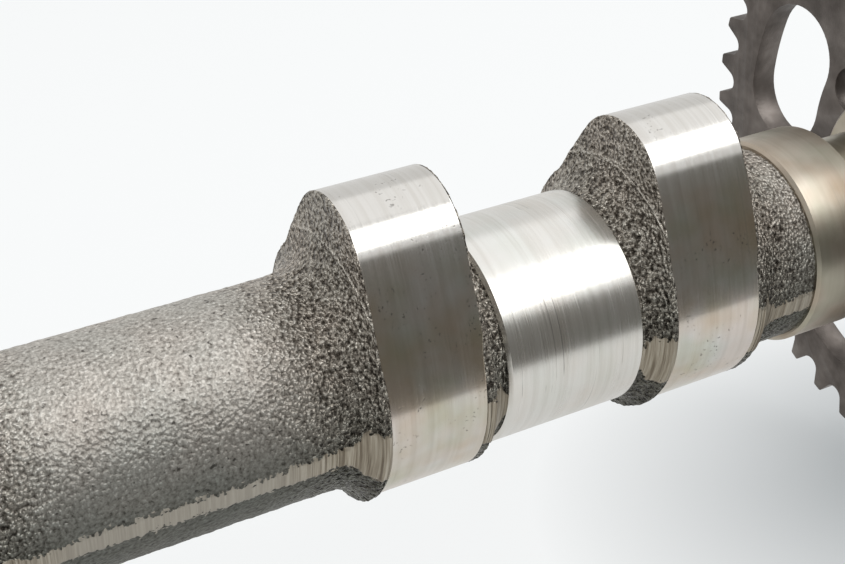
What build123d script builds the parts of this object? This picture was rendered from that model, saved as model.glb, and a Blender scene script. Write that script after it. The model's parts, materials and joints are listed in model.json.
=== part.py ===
from build123d import *
import os
from math import acos, atan2, cos, degrees, radians, sin, tan

# A camshaft for an engine with three cylinders and four valves to each, in millimetres.
# The shaft lies along X. The chain wheel is at the +X end, and the origin is on the shaft's
# own axis, in the middle of the front journal. Angles round the shaft are counted from +Y
# towards +Z.

# ---- driving dimensions -------------------------------------------------------------

# Ground journals, which stand a step proud of the cast bar
cylinder_count = 3
cylinder_pitch = 98.0
journal_radius = 13.5
journal_step = 0.75
journal_width = 18.5
front_journal_width = 9.5
front_journal_gap = 26.25
journal_chamfer = 0.4

# Casting: one iron bar with a pair of lobes for each cylinder
lobe_fillet = 4.4
lobe_fillet_run_count = 2
cast_ledge = 0.5
boss_overhang = 1.3
casting_shift = 1.15
parting_rib_width = 3.0
parting_rib_height = 0.2

# Ground lobes
base_radius = 14.85
lift = 8.8
nose_radius = 8.4
flank_radius = 60.0
lobe_width = 11.8
lobe_neck = 3.85
first_nose_angle = 105.0
firing_angle = 120.0
parting_angle = 95.0

# Rear end of the casting
rear_stub_length = 8.0
rear_spigot_radius = 10.0
rear_spigot_length = 12.0
spigot_chamfer = 0.6
centre_hole_radius = 2.0
centre_hole_depth = 5.0
centre_sink_radius = 4.0
centre_sink_angle = 60.0

# Front end of the casting, where the wheel sits
front_neck_radius = 10.5
front_neck_length = 15.75
seat_radius = 14.5
seat_width = 6.0
pilot_radius = 9.0
pilot_recess = 0.4
bolt_hole_depth = 30.0
bolt_hole_chamfer = 0.8

# Chain wheel
tooth_count = 44
chain_pitch = 6.35
roller_radius = 1.65
tooth_height_over_pitch = 1.7
gap_side_angle = 66.0
wheel_thickness = 4.2
hub_radius = 15.0
hub_height = 2.6
hub_bevel = 0.6
window_count = 5
window_radius = 30.8
window_width = 14.8
window_arc_angle = 13.9
first_window_angle = 20.4
first_tooth_angle = 12.8
timing_hole_radius = 3.4
timing_hole_place = 18.6
timing_hole_angle = 35.0

# Fastening of the wheel
bolt_radius = 5.0
bolt_length = 32.0
bolt_head_side_count = 6
bolt_head_across = 16.0
bolt_head_height = 6.4
bolt_head_bevel = 0.7
washer_radius = 14.0
washer_thickness = 3.0
dowel_radius = 2.0
dowel_length = 10.0
dowel_place = 11.9
dowel_angle = 200.0

# Clearances
wheel_clearance = 0.05
bolt_clearance = 0.1
dowel_clearance = 0.03

# How closely a circular edge has to match a radius to be picked by it
radius_match = 0.001

# ---- radii and places along the shaft -----------------------------------------------

shaft_radius = journal_radius - journal_step
boss_radius = base_radius + boss_overhang
lobe_tip_radius = base_radius + lift
lobe_face = journal_width / 2 + lobe_neck
lobe_far_face = lobe_face + lobe_width
first_journal_x = -(front_journal_width / 2 + front_journal_gap + journal_width / 2)
last_journal_x = first_journal_x - (cylinder_count - 1) * cylinder_pitch
spigot_x = last_journal_x - lobe_far_face - cast_ledge - lobe_fillet - rear_stub_length
rear_end_x = spigot_x - rear_spigot_length
seat_x = front_journal_width / 2 + front_neck_length
wheel_x = seat_x + seat_width
hub_length = wheel_thickness + hub_height
pilot_end_x = wheel_x + hub_length - pilot_recess
washer_x = wheel_x + hub_length
head_x = washer_x + washer_thickness

# The two halves of the mould met in a plane through the axis, and slipped a little along it
parting_plane_angle = first_nose_angle + parting_angle
shift_angle = parting_plane_angle - 180

# ---- shape of the wheel -------------------------------------------------------------

pitch_radius = chain_pitch / (2 * sin(radians(180 / tooth_count)))
tip_radius = pitch_radius + tooth_height_over_pitch


def across(x, turn=0.0):
    """The plane square to the shaft at x, with its own X turned round the shaft."""
    turned = (0, cos(radians(turn)), sin(radians(turn)))
    return Plane(origin=(x, 0, 0), x_dir=turned, z_dir=(1, 0, 0))


def round_bar(x, radius, length):
    """Extrude a round length of bar into the part in hand."""
    with BuildSketch(across(x)) as section:
        Circle(radius)
    extrude(section.sketch, amount=length)


def lobe_outline(plane):
    """Cam outline with its nose along the plane's X: base circle, two flanks and nose.

    Each flank is an arc that touches the base circle and the nose arc from outside, so its
    centre lies at a known distance from the centres of both.
    """
    nose_centre = lobe_tip_radius - nose_radius
    to_base = flank_radius - base_radius
    to_nose = flank_radius - nose_radius
    cosine = (to_nose**2 - to_base**2 - nose_centre**2) / (2 * to_base * nose_centre)
    flank_start = degrees(acos(cosine))
    flank_centre_x = -to_base * cos(radians(flank_start))
    flank_centre_y = -to_base * sin(radians(flank_start))
    flank_end = degrees(atan2(-flank_centre_y, nose_centre - flank_centre_x))
    flank_arc = flank_start - flank_end
    with BuildSketch(plane) as outline:
        with BuildLine():
            CenterArc((0, 0), base_radius, flank_start, 360 - 2 * flank_start)
            CenterArc((nose_centre, 0), nose_radius, -flank_end, 2 * flank_end)
            CenterArc((flank_centre_x, flank_centre_y), flank_radius, flank_end, flank_arc)
            CenterArc((flank_centre_x, -flank_centre_y), flank_radius, -flank_start, flank_arc)
        make_face()
    return outline.sketch


def cast_outline(x, nose_angle):
    """Outline of a lobe's side as cast: the lobe's own, and a round boss that slipped aside."""
    slip = radians(shift_angle - nose_angle)
    with BuildSketch(across(x, nose_angle)) as outline:
        add(lobe_outline(Plane.XY))
        with Locations((casting_shift * cos(slip), casting_shift * sin(slip))):
            Circle(boss_radius)
    return outline.sketch


def cast_side(face_x, outward, nose_angle):
    """One side of a lobe with its cast skin: a thin ledge, then a hollow root down to the bar.

    It is turned about the shaft and cut to the outline of the cast side. The hollow is drawn
    in straight runs, which keeps a rough cast form light.
    """
    ledge_x = face_x + outward * cast_ledge
    root_x = ledge_x + outward * lobe_fillet
    run_angle = radians(90 / lobe_fillet_run_count)
    runs = [run_angle * run for run in range(lobe_fillet_run_count + 1)]
    hollow = [
        (root_x - outward * lobe_fillet * sin(run), shaft_radius + lobe_fillet * (1 - cos(run)))
        for run in runs
    ]
    reach = lobe_tip_radius + boss_overhang
    with BuildSketch(Plane.XY) as half_section:
        with BuildLine():
            Polyline((root_x, 0), *hollow, (ledge_x, reach), (face_x, reach), (face_x, 0), close=True)
        make_face()
    turned = revolve(half_section.sketch, Axis.X, mode=Mode.PRIVATE)
    outline = cast_outline(min(root_x, face_x), nose_angle)
    return turned & extrude(outline, amount=cast_ledge + lobe_fillet, mode=Mode.PRIVATE)


def edges_of_radius(part, radius):
    """The circular edges of one radius that the last feature made."""
    circles = part.edges(Select.LAST).filter_by(GeomType.CIRCLE)
    return circles.filter_by(lambda edge: abs(edge.radius - radius) < radius_match)


# ---- camshaft: one iron casting, ground on its journals and lobes --------------------

with BuildPart() as camshaft:
    # Cast bar, with the ribs left where the two halves of the mould met
    with BuildSketch(across(spigot_x, parting_plane_angle)) as bar:
        Circle(shaft_radius)
        Rectangle(2 * (shaft_radius + parting_rib_height), parting_rib_width)
    extrude(bar.sketch, amount=front_journal_width / 2 - spigot_x)

    for cylinder in range(cylinder_count):
        journal_x = first_journal_x - cylinder * cylinder_pitch
        nose_angle = first_nose_angle + cylinder * firing_angle

        round_bar(journal_x - journal_width / 2, journal_radius, journal_width)
        chamfer(edges_of_radius(camshaft, journal_radius), journal_chamfer)

        for side in (-1, 1):
            inner_x = journal_x + side * lobe_face
            outer_x = journal_x + side * lobe_far_face

            # The rim is ground true to the axis. Each side keeps its cast skin, with a boss
            # that stands a little off the axis and passes the rim behind it.
            extrude(lobe_outline(across(min(inner_x, outer_x), nose_angle)), amount=lobe_width)
            add(cast_side(inner_x, -side, nose_angle))
            add(cast_side(outer_x, side, nose_angle))

    # Front journal, neck and the seat and pilot that carry the wheel
    round_bar(-front_journal_width / 2, journal_radius, front_journal_width)
    chamfer(edges_of_radius(camshaft, journal_radius), journal_chamfer)
    round_bar(front_journal_width / 2, front_neck_radius, front_neck_length)
    round_bar(seat_x, seat_radius, seat_width)
    chamfer(edges_of_radius(camshaft, seat_radius), journal_chamfer)
    round_bar(wheel_x, pilot_radius, pilot_end_x - wheel_x)
    chamfer(camshaft.edges().group_by(Axis.X)[-1], journal_chamfer)

    # Rear spigot
    round_bar(rear_end_x, rear_spigot_radius, rear_spigot_length)
    chamfer(camshaft.edges().group_by(Axis.X)[0], spigot_chamfer)

    # Centre hole, bolt hole and dowel hole
    with Locations(-across(rear_end_x)):
        CounterSinkHole(centre_hole_radius, centre_sink_radius, centre_hole_depth, centre_sink_angle)
    with Locations(across(pilot_end_x)):
        Hole(bolt_radius + bolt_clearance, depth=bolt_hole_depth)
    bolt_hole_edges = edges_of_radius(camshaft, bolt_radius + bolt_clearance)
    chamfer(bolt_hole_edges.group_by(Axis.X)[-1], bolt_hole_chamfer)
    with Locations(across(wheel_x, dowel_angle)):
        with Locations((dowel_place, 0)):
            Hole(dowel_radius + dowel_clearance, depth=dowel_length / 2)
camshaft.part.label = "camshaft"

# ---- chain wheel ----------------------------------------------------------------------

with BuildPart() as chain_wheel:
    # Blank with a hub that stands out on the bolt's side
    with BuildSketch(Plane.XY) as blank:
        with BuildLine():
            Polyline(
                (wheel_x, pilot_radius + wheel_clearance),
                (wheel_x, tip_radius),
                (wheel_x + wheel_thickness, tip_radius),
                (wheel_x + wheel_thickness, hub_radius),
                (wheel_x + hub_length - hub_bevel, hub_radius),
                (wheel_x + hub_length, hub_radius - hub_bevel),
                (wheel_x + hub_length, pilot_radius + wheel_clearance),
                close=True,
            )
        make_face()
    revolve(blank.sketch, Axis.X)

    # Gaps between the teeth: a round seat for the chain's roller, with sides that leave it
    # in line and open outwards
    side_lean = radians(90 - gap_side_angle)
    foot_radius = pitch_radius - roller_radius * sin(side_lean)
    gap_depth = 2 * tooth_height_over_pitch
    gap_mouth = 2 * (roller_radius * cos(side_lean) + gap_depth * tan(side_lean))
    first_gap_angle = first_tooth_angle + 180 / tooth_count
    with BuildSketch(across(wheel_x, first_gap_angle)) as gaps:
        with PolarLocations(pitch_radius, tooth_count):
            Circle(roller_radius)
        with PolarLocations(foot_radius + gap_depth / 2, tooth_count):
            Trapezoid(gap_mouth, gap_depth, gap_side_angle, rotation=90)
    extrude(gaps.sketch, amount=wheel_thickness, mode=Mode.SUBTRACT)

    # Lightening windows
    for window in range(window_count):
        window_angle = first_window_angle + window * 360 / window_count
        with BuildSketch(across(wheel_x, window_angle)) as opening:
            with BuildLine() as middle_line:
                CenterArc((0, 0), window_radius, -window_arc_angle / 2, window_arc_angle)
            SlotArc(middle_line.edge(), window_width)
        extrude(opening.sketch, amount=wheel_thickness, mode=Mode.SUBTRACT)

    # Timing hole and dowel hole
    with BuildSketch(across(wheel_x, timing_hole_angle)) as timing_hole:
        with Locations((timing_hole_place, 0)):
            Circle(timing_hole_radius)
    extrude(timing_hole.sketch, amount=hub_length, mode=Mode.SUBTRACT)
    with BuildSketch(across(wheel_x, dowel_angle)) as dowel_hole:
        with Locations((dowel_place, 0)):
            Circle(dowel_radius + dowel_clearance)
    extrude(dowel_hole.sketch, amount=hub_length, mode=Mode.SUBTRACT)
chain_wheel.part.label = "chain_wheel"

# ---- dowel pin, washer and bolt that hold the wheel --------------------------------------

with BuildPart() as dowel_pin:
    with BuildSketch(across(wheel_x - dowel_length / 2, dowel_angle)) as pin_section:
        with Locations((dowel_place, 0)):
            Circle(dowel_radius)
    extrude(pin_section.sketch, amount=dowel_length)
dowel_pin.part.label = "dowel_pin"

with BuildPart() as washer:
    with BuildSketch(across(washer_x)) as ring:
        Circle(washer_radius)
        Circle(bolt_radius + bolt_clearance, mode=Mode.SUBTRACT)
    extrude(ring.sketch, amount=washer_thickness)
washer.part.label = "washer"

with BuildPart() as wheel_bolt:
    with BuildSketch(across(head_x)) as head:
        RegularPolygon(bolt_head_across / 2, bolt_head_side_count, major_radius=False)
    extrude(head.sketch, amount=bolt_head_height)
    with BuildSketch(Plane.XY) as head_cone:
        corner = bolt_head_across / 2 / cos(radians(180 / bolt_head_side_count))
        with BuildLine():
            Polyline(
                (head_x, 0),
                (head_x, corner),
                (head_x + bolt_head_height - bolt_head_bevel, corner),
                (head_x + bolt_head_height, bolt_head_across / 2 - bolt_head_bevel),
                (head_x + bolt_head_height, 0),
                close=True,
            )
        make_face()
    revolve(head_cone.sketch, Axis.X, mode=Mode.INTERSECT)
    round_bar(head_x - bolt_length, bolt_radius, bolt_length)
wheel_bolt.part.label = "wheel_bolt"

# ---- one file for each piece ---------------------------------------------------------------

os.makedirs("parts", exist_ok=True)
for piece in (camshaft, chain_wheel, dowel_pin, washer, wheel_bolt):
    export_step(piece.part, f"parts/{piece.part.label}.step")
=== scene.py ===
# %% [markdown]
# # Dressing a camshaft
# A camshaft is one iron casting. Most of its skin stays as it left the sand mould, dark and
# grainy, and only the places that work are ground bright: the journals that turn in the
# bearings, and the rims of the lobes that push the valves open. A toothed chain wheel is
# bolted on its front end. This script loads the finished solids as a frame, and puts a finer
# skin in their place: the shape is already decided, so everything here is about surface.

# %% Load the frame
import json
import math
from functools import partial

import bpy
import numpy as np
from mathutils import Matrix, Vector, noise


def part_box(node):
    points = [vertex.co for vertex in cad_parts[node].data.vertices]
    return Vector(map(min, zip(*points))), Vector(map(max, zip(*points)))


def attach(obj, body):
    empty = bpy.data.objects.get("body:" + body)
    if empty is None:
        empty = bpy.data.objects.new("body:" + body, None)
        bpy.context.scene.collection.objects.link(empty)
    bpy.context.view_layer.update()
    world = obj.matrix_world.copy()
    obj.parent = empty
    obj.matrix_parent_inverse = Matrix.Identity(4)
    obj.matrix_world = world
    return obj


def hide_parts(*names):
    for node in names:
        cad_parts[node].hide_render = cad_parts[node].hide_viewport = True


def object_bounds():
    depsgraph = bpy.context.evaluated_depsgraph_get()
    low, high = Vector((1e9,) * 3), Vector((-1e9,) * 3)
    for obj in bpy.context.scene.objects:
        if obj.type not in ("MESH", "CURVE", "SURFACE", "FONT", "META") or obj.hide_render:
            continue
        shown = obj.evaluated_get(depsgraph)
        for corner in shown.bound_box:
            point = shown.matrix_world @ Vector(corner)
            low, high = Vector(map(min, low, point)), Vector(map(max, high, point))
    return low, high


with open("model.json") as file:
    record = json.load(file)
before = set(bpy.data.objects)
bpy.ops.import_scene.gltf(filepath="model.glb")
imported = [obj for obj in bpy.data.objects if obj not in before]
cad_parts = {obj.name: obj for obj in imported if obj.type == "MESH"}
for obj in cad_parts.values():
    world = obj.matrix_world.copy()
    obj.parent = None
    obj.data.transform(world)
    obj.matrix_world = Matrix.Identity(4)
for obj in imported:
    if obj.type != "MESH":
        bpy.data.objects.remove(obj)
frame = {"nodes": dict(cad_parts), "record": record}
cad_box = [list(corner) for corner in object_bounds()]
print("solids span:", [[round(value, 4) for value in corner] for corner in cad_box])

# %% [markdown]
# ## Sizes that are read and sizes that are written
# The frame's record says where the journals are and how wide and thick they are, so those
# are read from it. A number typed twice is a number that will one day differ. What the
# record doesn't say are the casting's own sizes, written here in millimetres as on a workshop
# drawing, and turned into metres where a mesh is made.

# %% Read the mounts
MM = 0.001
mounts = {mount["name"]: mount for mount in frame["record"]["mounts"]}
front_journal_width = mounts["front_journal"]["dims"]["length_mm"]
journal_radius = mounts["journal_1"]["dims"]["r_mm"]
journal_width = mounts["journal_1"]["dims"]["length_mm"]
journal_names = sorted(name for name in mounts if name.startswith("journal_"))
journal_places = [mounts[name]["pos_m"][0] / MM for name in journal_names]
half = journal_width / 2
front_edge = -front_journal_width / 2
print("journals at", [round(x, 2) for x in journal_places], "mm, radius", journal_radius)

# %% Sizes of the casting, in millimetres and degrees
journal_step = 0.75
shaft_radius = journal_radius - journal_step
lobe_fillet = 4.4
cast_ledge = 0.5
base_radius = 14.85
boss_overhang = 1.3
boss_radius = base_radius + boss_overhang
casting_shift = 1.15
lift = 8.8
nose_radius = 8.4
flank_radius = 60.0
lobe_width = 11.8
lobe_neck = 3.85
first_nose_angle = 105.0
firing_angle = 120.0
parting_plane_angle = 200.0
front_neck_radius = 10.5
seat_radius = 14.5
seat_width = 6.0
pilot_radius = 9.0
pilot_recess = 0.4
turned_bevel = 0.4
bolt_hole_radius = 5.1
bolt_hole_depth = 30.0
bolt_hole_chamfer = 0.8
rear_spigot_radius = 10.0
rear_spigot_chamfer = 0.6
rear_spigot_overlap = 0.5
centre_hole_radius = 2.0
centre_hole_depth = 5.0
centre_sink_radius = 4.0
centre_sink_depth = 3.46
root_top = shaft_radius + lobe_fillet
lobe_reach = lobe_width / 2 + cast_ledge + lobe_fillet
print("bar radius", shaft_radius, "mm, top of the roots", root_top, "mm")

# %% [markdown]
# ## The cam's outline
# A lobe's outline is four arcs. On the base circle the valve stays shut, on the small nose
# circle it is fully open, and two large flanks touch both from outside and lift it. It could
# be drawn as a curve and extruded, but its sides have to blend into a round bar. Seen from
# the axis every direction meets the outline once, so it can be given as one radius for each
# angle, and then any skin round the shaft is just a table of radii.

# %% Radius of the ground rim at every angle
COLUMNS = 320
angles = np.linspace(0, 2 * np.pi, COLUMNS, endpoint=False)


def arc_points(centre_x, centre_y, radius, start, end, count=400):
    """Points along an arc, angles in radians."""
    turn = np.linspace(start, end, count)
    return np.stack([centre_x + radius * np.cos(turn), centre_y + radius * np.sin(turn)], 1)


def rim_radius(nose_angle):
    """Radius of a lobe's ground rim at every column of the skin."""
    nose_centre = base_radius + lift - nose_radius
    to_base = flank_radius - base_radius
    to_nose = flank_radius - nose_radius
    cosine = (to_nose**2 - to_base**2 - nose_centre**2) / (2 * to_base * nose_centre)
    start = math.acos(cosine)
    flank_x, flank_y = -to_base * math.cos(start), -to_base * math.sin(start)
    end = math.atan2(-flank_y, nose_centre - flank_x)
    outline = np.concatenate([
        arc_points(0, 0, base_radius, start, 2 * math.pi - start),
        arc_points(flank_x, -flank_y, flank_radius, -start, -end),
        arc_points(nose_centre, 0, nose_radius, -end, end),
        arc_points(flank_x, flank_y, flank_radius, end, start),
    ])
    direction = (np.arctan2(outline[:, 1], outline[:, 0]) + math.radians(nose_angle)) % (2 * np.pi)
    order = np.argsort(direction)
    return np.interp(angles, direction[order], np.hypot(*outline.T)[order], period=2 * np.pi)


sample = rim_radius(first_nose_angle)
print("rim radius from", round(sample.min(), 2), "to", round(sample.max(), 2), "mm")

# %% [markdown]
# ## The cast side's outline
# The rim is ground true to the axis, but each side still shows the casting: the rim's own
# outline, and a round boss that passes it behind the heel. The boss stands a little off the
# axis, because the two halves of a sand mould never meet quite true. The larger of the two
# radii is taken at each angle. A hard maximum would leave a crease that no sand could hold,
# so a soft one is used, which rounds the corner where the two cross. The boss isn't equally
# tall all round either. It is lower all round on the sides that face the wheel, and on the
# others it is lower near the side that it slipped to, where it would stand out most.

# %% Radius of the cast side at every angle
CROSSING_SHARPNESS = 8.0
FRONT_SIDE_DROP = 0.7
REAR_SIDE_DROP = 0.9
REAR_DROP_ANGLE = 45.0
rear_drop = REAR_SIDE_DROP * np.clip(np.cos(angles - math.radians(REAR_DROP_ANGLE)), 0, 1)
slip = angles - math.radians(parting_plane_angle - 180)
boss = casting_shift * np.cos(slip) + np.sqrt(boss_radius**2 - (casting_shift * np.sin(slip))**2)


def cast_radius(nose_angle, drop):
    """Radius of a lobe's cast side at every column of the skin."""
    rim = rim_radius(nose_angle)
    return rim + np.log1p(np.exp(CROSSING_SHARPNESS * (boss - drop - rim))) / CROSSING_SHARPNESS


for side, drop in (("front", FRONT_SIDE_DROP), ("rear", rear_drop)):
    overhang = (cast_radius(first_nose_angle, drop) - sample).max()
    print("on the", side, "side the boss passes the rim by at most", round(overhang, 2), "mm")

# %% [markdown]
# ## One long turned skin
# Everything between two journals is one sheet of rows and columns. A column is one angle
# round the shaft, and a row is one step of the path a stylus would follow: along the bar, up
# the hollow root, out over the lobe's side, across its ground rim and down again. A Screw
# modifier turns such a path, but only into round things, and a lobe's radius changes with the
# angle. Rows are packed closely where the path bends, and each one remembers how rough the
# skin is there and whether a grinding wheel has touched it.

# %% Rows of the skin
GRAIN_STEP = 0.36
BEAD_OUTSIDE = 0.35
BEAD_HEIGHT = 0.12
BEAD_WIDTH = 0.4
BEAD_ROOM = 0.3
EDGE_ROUND = 0.35
EDGE_FULL_HEIGHT = 0.6
EDGE_WANDER = 0.05
FLUSH_REACH = 0.4
FLUSH_INSET = 0.22
RIM_STEP = 0.08
RIM_BEVEL = 0.05
RIM_BEVEL_DEPTH = 0.04
RIM_START = 0.12
ROOT_ROWS = 22
SIDE_ROWS = 14
RIM_ROWS = 8


class Skin:
    """Rows of place along the shaft and radius for every column, from the rear forwards."""

    def __init__(self):
        self.x, self.r, self.rough, self.ground = [], [], [], []

    def row(self, x, r, rough, ground=False):
        self.x.append(np.broadcast_to(np.asarray(x, float), angles.shape).copy())
        self.r.append(np.broadcast_to(np.asarray(r, float), angles.shape).copy())
        self.rough.append(rough)
        self.ground.append(ground)

    def bar(self, end_x):
        """Straight bar from the last row to end_x."""
        start_x = self.x[-1]
        steps = max(1, int(round(abs(end_x - start_x.mean()) / GRAIN_STEP)))
        for step in range(1, steps + 1):
            self.row(start_x + (end_x - start_x) * step / steps, shaft_radius, 1.0)

# %% [markdown]
# ## One side of a lobe
# From the bar outwards: a quarter of a round hollow, the flat side with a thin raised line
# where the root ends in the mould, a rounded corner, and a narrow ledge that stops at the
# ground rim. Where the boss lies inside the rim, the grinding reaches right out over the
# ledge, and the edge is crisp. Elsewhere the boundary wanders by a few hundredths of a
# millimetre, because a rough casting meets a true wheel there.

# %% Rows of one side and of a whole lobe
def root_rows(root_x, outward, cast):
    """The hollow root, cut short wherever the side's outline lies inside it."""
    climb = np.minimum(cast, root_top) - shaft_radius
    sweep = np.arccos(1 - climb / lobe_fillet)
    rows = []
    for share in np.linspace(0, 1, ROOT_ROWS):
        turn = sweep * share
        radius = shaft_radius + lobe_fillet * (1 - np.cos(turn))
        rows.append((root_x - outward * lobe_fillet * np.sin(turn), radius, 1.0, False))
    return rows


def side_rows(face_x, outward, cast, rim):
    """A cast side, from the bar to the edge of the ground rim."""
    ledge_x = face_x + outward * cast_ledge
    rows = root_rows(ledge_x + outward * lobe_fillet, outward, cast)
    start_x, start_r = rows[-1][0], rows[-1][1]
    # The corner is rounded less on a low side, and least where the rim is ground flush
    flush = np.clip((cast - boss) / FLUSH_REACH, 0, 1)
    corner = EDGE_ROUND * np.clip((cast - root_top) / EDGE_FULL_HEIGHT, 0.15, 1) * (1 - 0.75 * flush)
    corner_r = cast - corner
    has_bead = cast > root_top + BEAD_ROOM
    for share in np.linspace(0, 1, SIDE_ROWS + 1)[1:] ** 1.25:
        r = start_r + (corner_r - start_r) * share
        off_bead = (r - root_top - BEAD_OUTSIDE) / BEAD_WIDTH
        bead = BEAD_HEIGHT * np.exp(-(off_bead**2)) * has_bead
        rows.append((start_x + (ledge_x - start_x) * share + outward * bead, r, 1.0, False))
    for share in (0.33, 0.67, 1.0):
        turn = share * math.pi / 2
        x = ledge_x - outward * corner * (1 - math.cos(turn))
        rows.append((x, corner_r + corner * math.sin(turn), 0.6, False))
    around = [Vector((face_x, 9 * math.cos(a), 9 * math.sin(a))) for a in angles]
    ragged = EDGE_WANDER * np.array([noise.noise(place) for place in around])
    edge_x = face_x + outward * (RIM_STEP + ragged + (cast_ledge - FLUSH_INSET) * flush)
    rows.append((edge_x + outward * 0.03, rim + 0.35 * (cast - rim), 0.0, False))
    rows.append((edge_x, rim - RIM_BEVEL_DEPTH, 0.0, False))
    for inset in (RIM_BEVEL, RIM_START):
        rows.append((edge_x - outward * inset, rim, 0.0, True))
    return rows


def add_lobe(skin, centre_x, nose_angle):
    """A whole lobe: root, side, ground rim, side and root."""
    rim = rim_radius(nose_angle)
    rear = side_rows(centre_x - lobe_width / 2, -1, cast_radius(nose_angle, rear_drop), rim)
    front = side_rows(centre_x + lobe_width / 2, 1, cast_radius(nose_angle, FRONT_SIDE_DROP), rim)
    for row in rear:
        skin.row(*row)
    for share in np.linspace(0, 1, RIM_ROWS + 2)[1:-1]:
        skin.row(rear[-1][0] + (front[-1][0] - rear[-1][0]) * share, rim, 0.0, True)
    for row in reversed(front):
        skin.row(*row)


print("columns:", COLUMNS, "step along the bar:", GRAIN_STEP, "mm")

# %% [markdown]
# ## Sand and the parting line
# Sand leaves a skin of waves and grains. The waves, from three millimetres down to half a
# millimetre long, are moved in the mesh, so that they show on the part's outline, and they
# are deepest beside the lobes. The grains are finer still, and are left to the material,
# where they cost no faces. Where the two halves of the mould met, iron ran out into a thin
# flash that was trimmed afterwards. It leaves a flat strip along the bar and wider flats on
# the roots.

# %% How far a point lies inside the strip, and how lumpy it is
STRIP_HALF_WIDTH = 1.25
STRIP_ROOT_HALF_WIDTH = 3.6
STRIP_HEIGHT = 0.14
# Waves of the sand: how many to the millimetre, and their height in millimetres
SAND_WAVES = ((0.35, 0.08), (1.25, 0.08), (1.75, 0.13))


def strip_depth(r):
    """Millimetres inside the trimmed strip, below zero outside it."""
    offset = (angles - math.radians(parting_plane_angle) + np.pi) % (2 * np.pi) - np.pi
    rise = np.clip((r - shaft_radius) / lobe_fillet, 0, 1)
    widen = (STRIP_ROOT_HALF_WIDTH - STRIP_HALF_WIDTH) * np.clip(rise * 6, 0, 1)
    return STRIP_HALF_WIDTH + widen - np.abs(offset) * r


def sand_waves(x, r, rough, near):
    """Height of the waves at every point of a rough row, with coarse lumps near the lobes."""
    wave = np.zeros_like(x)
    y, z = r * np.cos(angles), r * np.sin(angles)
    for i in np.flatnonzero(rough[:, 0] > 0):
        for j in range(COLUMNS):
            place = Vector((x[i, j], y[i, j], z[i, j]))
            broad, small, coarse = [height * noise.noise(place * count) for count, height in SAND_WAVES]
            wave[i, j] = broad + small + near[i, j] * coarse
    return wave


print("strip:", 2 * STRIP_HALF_WIDTH, "mm wide,", STRIP_HEIGHT, "mm high")

# %% [markdown]
# ## From rows to a mesh
# Each point moves square to the skin, so the slope of the path is measured first. The faces
# are written out as a grid that closes on itself, with a fan at each end, which keeps the
# mesh closed. Four numbers are stored on the points for the materials: how far inside the
# strip a point lies; how near it is to a lobe, where the sand was coarsest and where the
# colour is painted darker as shade; how much shade is painted on it, full over the half below
# the parting plane and fading out above it; and how far out it is on a lobe's nose, which the
# valve gear keeps clean.

# %% Mesh of a skin
LOBE_SHADE_REACH = 9.0
PAINTED_LOW_SHADE_FADE = 62.0
NOSE_START = 18.0
NOSE_FADE = 3.5
STRIP_EDGE = 0.3


def grid_faces(rows, columns, first_end, second_end):
    """Faces of a tube of rows, and a fan to a point at each end."""
    faces = []
    pairs = [(j, (j + 1) % columns) for j in range(columns)]
    for i in range(rows - 1):
        low, high = i * columns, (i + 1) * columns
        faces += [(low + j, low + k, high + k, high + j) for j, k in pairs]
    last = (rows - 1) * columns
    faces += [(first_end, k, j) for j, k in pairs]
    faces += [(second_end, last + j, last + k) for j, k in pairs]
    return faces


def shade_smooth(mesh, sharp_degrees):
    """Shade a mesh smooth, but for the edges that turn more sharply than this."""
    mesh.polygons.foreach_set("use_smooth", [True] * len(mesh.polygons))
    mesh.set_sharp_from_angle(angle=math.radians(sharp_degrees))


def skin_mesh(name, skin, lobes):
    """Make the closed mesh of a skin."""
    x, r, ground = np.array(skin.x), np.array(skin.r), np.array(skin.ground)
    rough = np.array(skin.rough)[:, None] * np.ones_like(x)
    strip = strip_depth(r)
    on_strip = np.clip(strip / STRIP_EDGE + 0.5, 0, 1) * (rough > 0)
    dx, dr = np.gradient(x, axis=0), np.gradient(r, axis=0)
    length = np.hypot(dx, dr) + 1e-9
    out_x, out_r = -dr / length, dx / length
    near = np.zeros_like(x)
    for centre_x, _ in lobes:
        distance = np.clip(np.abs(x - centre_x) - lobe_reach, 0, None)
        near = np.maximum(near, np.clip(1 - distance / LOBE_SHADE_REACH, 0, 1))
    waves = sand_waves(x, r, rough, near)
    lump = waves * rough * (1 - 0.85 * on_strip) + STRIP_HEIGHT * on_strip * rough
    x, r = x + out_x * lump, r + out_r * lump

    # Painted shade: full over the half below the parting plane, fading out above the parting line
    past_parting = (math.radians(parting_plane_angle) - angles) % (2 * np.pi)
    fading = np.clip(1 - past_parting / math.radians(PAINTED_LOW_SHADE_FADE), 0, 1) ** 0.8
    painted_low_half_shade = np.where(past_parting > np.pi, 1.0, fading) * np.ones_like(x)
    nose = np.clip((r - NOSE_START) / NOSE_FADE, 0, 1)

    points = np.stack([x, r * np.cos(angles), r * np.sin(angles)], 2).reshape(-1, 3)
    ends = [[x[0].mean(), 0, 0], [x[-1].mean(), 0, 0]]
    points = np.concatenate([points, ends]) * MM
    faces = grid_faces(len(x), COLUMNS, len(points) - 2, len(points) - 1)
    rim_rows = (ground[:-1] & ground[1:]).astype(int)
    materials = np.concatenate([np.repeat(rim_rows, COLUMNS), np.zeros(2 * COLUMNS, int)])
    mesh = bpy.data.meshes.new(name)
    mesh.from_pydata(points.tolist(), [], faces)
    mesh.polygons.foreach_set("material_index", materials)
    for label, values, at_ends in (("strip", strip, -9.0), ("near_lobe", near, 0.0),
                                   ("painted_low_half_shade", painted_low_half_shade, 0.0), ("nose", nose, 0.0)):
        values = np.concatenate([values.ravel(), [at_ends, at_ends]]).astype(np.float32)
        mesh.attributes.new(label, "FLOAT", "POINT").data.foreach_set("value", values)
    shade_smooth(mesh, 48)
    mesh.update()
    return mesh
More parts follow.
